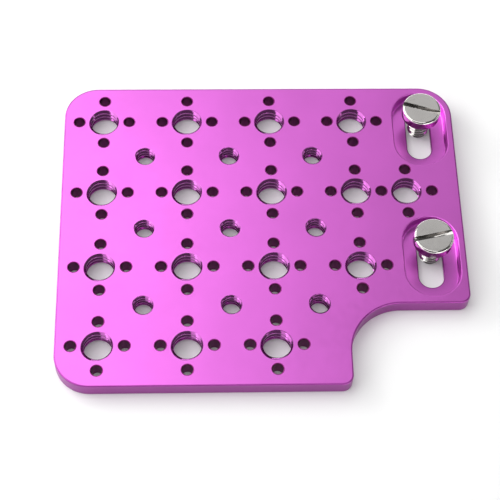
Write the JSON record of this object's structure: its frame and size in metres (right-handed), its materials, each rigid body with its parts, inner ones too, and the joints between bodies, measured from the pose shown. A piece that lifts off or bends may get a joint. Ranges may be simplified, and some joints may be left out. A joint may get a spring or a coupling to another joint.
{
  "type": "camera cheese plate",
  "caption": "Flat anodised accessory plate for a camera rig: a field of threaded holes with locating pin holes, a wing with counterbored slots, and slotted screws.",
  "frame": {"origin": "centre of the plate's outline on its underside", "axes": "+Z out of the plate's top, +X along the rows of threaded holes towards the wing, +Y from the front edge to the back"},
  "size_m": [0.1178, 0.0996, 0.012],
  "materials": {
    "anodised_plate": "satin purple anodising",
    "screw_steel": "polished, with a fine turned top face"
  },
  "bodies": {
    "plate": {"plate": "anodised_plate"},
    "rear_screw": {"rear_screw": "screw_steel"},
    "front_screw": {"front_screw": "screw_steel"}
  },
  "joints": [
    {"name": "rear_screw_slide", "type": "slide", "parent": "plate", "child": "rear_screw", "axis": [0, 1, 0], "range_m": [-0.0081, 0.0027]},
    {"name": "front_screw_slide", "type": "slide", "parent": "plate", "child": "front_screw", "axis": [0, 1, 0], "range_m": [-0.0081, 0.0027]}
  ]
}
